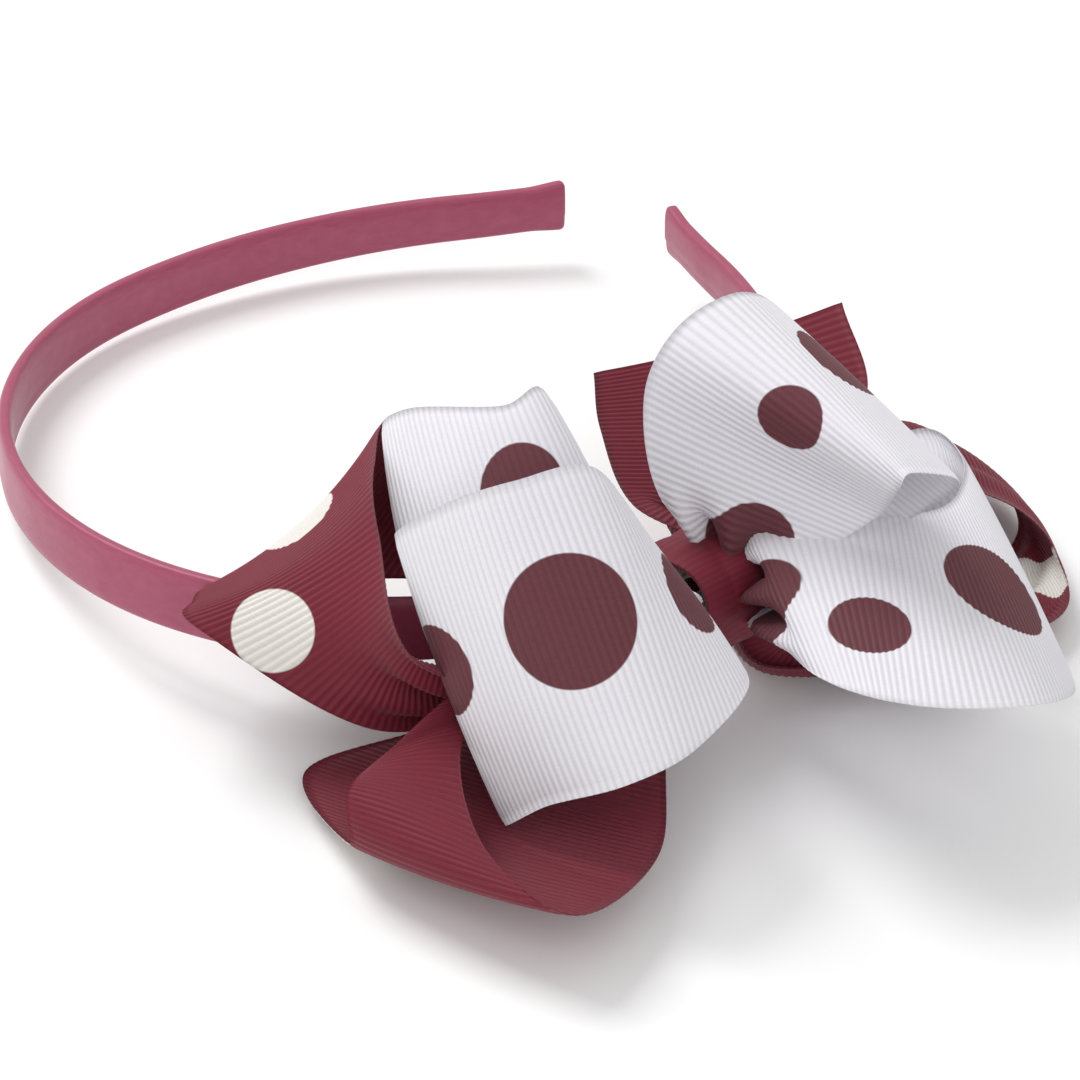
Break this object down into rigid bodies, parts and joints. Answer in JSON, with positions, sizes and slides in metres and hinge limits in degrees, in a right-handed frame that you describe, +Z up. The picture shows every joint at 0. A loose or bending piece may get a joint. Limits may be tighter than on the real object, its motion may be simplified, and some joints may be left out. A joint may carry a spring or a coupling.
{
  "type": "hair bow headband",
  "caption": "C-shaped satin-covered hair band carrying a double-layer grosgrain ribbon bow with polka dots, gathered and wrapped by a knot at one side",
  "frame": {"origin": "on the surface the object lies on, under the centre of the round crown part of the band", "axes": "+Z up from the surface; -Y towards the middle of the band's crown and +Y towards the gap between its tips; +X towards the side that carries the bow"},
  "size_m": [0.1842, 0.1793, 0.0614],
  "materials": {
    "band_plastic": "springy moulded strip, hidden under the satin",
    "satin": "dusty rose satin with a soft lengthwise sheen and a seam along the inside",
    "white_ribbon": "off-white grosgrain with fine cross ribs and printed maroon dots",
    "maroon_ribbon": "maroon grosgrain with fine cross ribs and printed cream dots",
    "thread": "sewing thread",
    "glue": "hot-melt glue, slightly translucent"
  },
  "bodies": {
    "root": {"band_core": "band_plastic", "satin_cover": "satin", "white_loop_left_front": "white_ribbon", "white_loop_left_back": "white_ribbon", "white_loop_right_upper": "white_ribbon", "white_loop_right_lower": "white_ribbon", "maroon_loop_left_upper": "maroon_ribbon", "maroon_loop_left_lower": "maroon_ribbon", "maroon_loop_right": "maroon_ribbon", "maroon_tail": "maroon_ribbon", "knot_wrap": "maroon_ribbon", "gather_thread": "thread", "glue_pad": "glue"}
  },
  "joints": []
}
